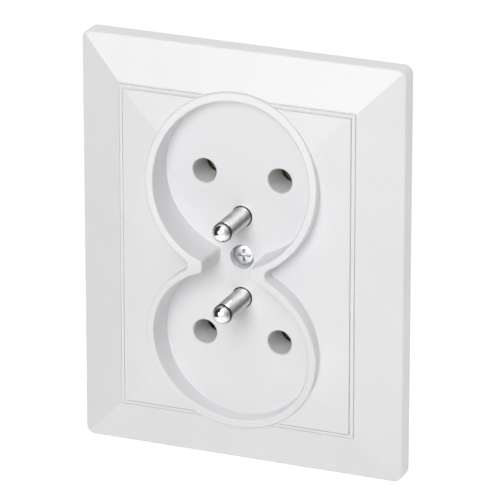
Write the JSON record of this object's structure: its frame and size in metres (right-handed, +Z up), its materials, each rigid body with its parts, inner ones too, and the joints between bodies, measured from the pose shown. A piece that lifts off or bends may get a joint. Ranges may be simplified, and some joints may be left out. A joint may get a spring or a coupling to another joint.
{
  "type": "double flush wall socket",
  "caption": "Double wall socket with earth pins: bevelled rectangular cover with a figure-of-eight recess on a flush-mounted base with spreading claws.",
  "frame": {"origin": "centre of the plate on the wall plane, between the two wall-box screws", "axes": "+Z up the wall, +X to the right seen from the front, front faces -Y, wall side is +Y"},
  "size_m": [0.081, 0.0418, 0.102],
  "materials": {
    "cover_plastic": "satin pearl white",
    "base_plastic": "moulded matt",
    "nickel_brass": "polished nickel plating",
    "contact_brass": "stamped",
    "zinc_steel": "zinc plated"
  },
  "bodies": {
    "socket": {"front_cover": "cover_plastic", "cover_screw": "zinc_steel", "upper_earth_pin": "nickel_brass", "lower_earth_pin": "nickel_brass", "support_plate": "zinc_steel", "base": "base_plastic", "base_cap": "base_plastic", "plate_rivets": "zinc_steel", "cap_screws": "zinc_steel", "line_contact": "contact_brass", "neutral_contact": "contact_brass", "earth_strap": "contact_brass", "line_clamp": "zinc_steel", "neutral_clamp": "zinc_steel", "earth_clamp": "zinc_steel", "terminal_screws": "zinc_steel", "left_claw_pin": "zinc_steel", "right_claw_pin": "zinc_steel", "left_claw_screw": "zinc_steel", "right_claw_screw": "zinc_steel"},
    "left_claw": {"left_claw": "zinc_steel"},
    "right_claw": {"right_claw": "zinc_steel"}
  },
  "joints": [
    {"name": "left_claw_swing", "type": "hinge", "parent": "socket", "child": "left_claw", "pos_m": [-0.0234, 0.0042, 0], "axis": [0, 0, 1], "range_deg": [0, 20]},
    {"name": "right_claw_swing", "type": "hinge", "parent": "socket", "child": "right_claw", "pos_m": [0.0234, 0.0042, 0], "axis": [0, 0, -1], "range_deg": [0, 20]}
  ]
}
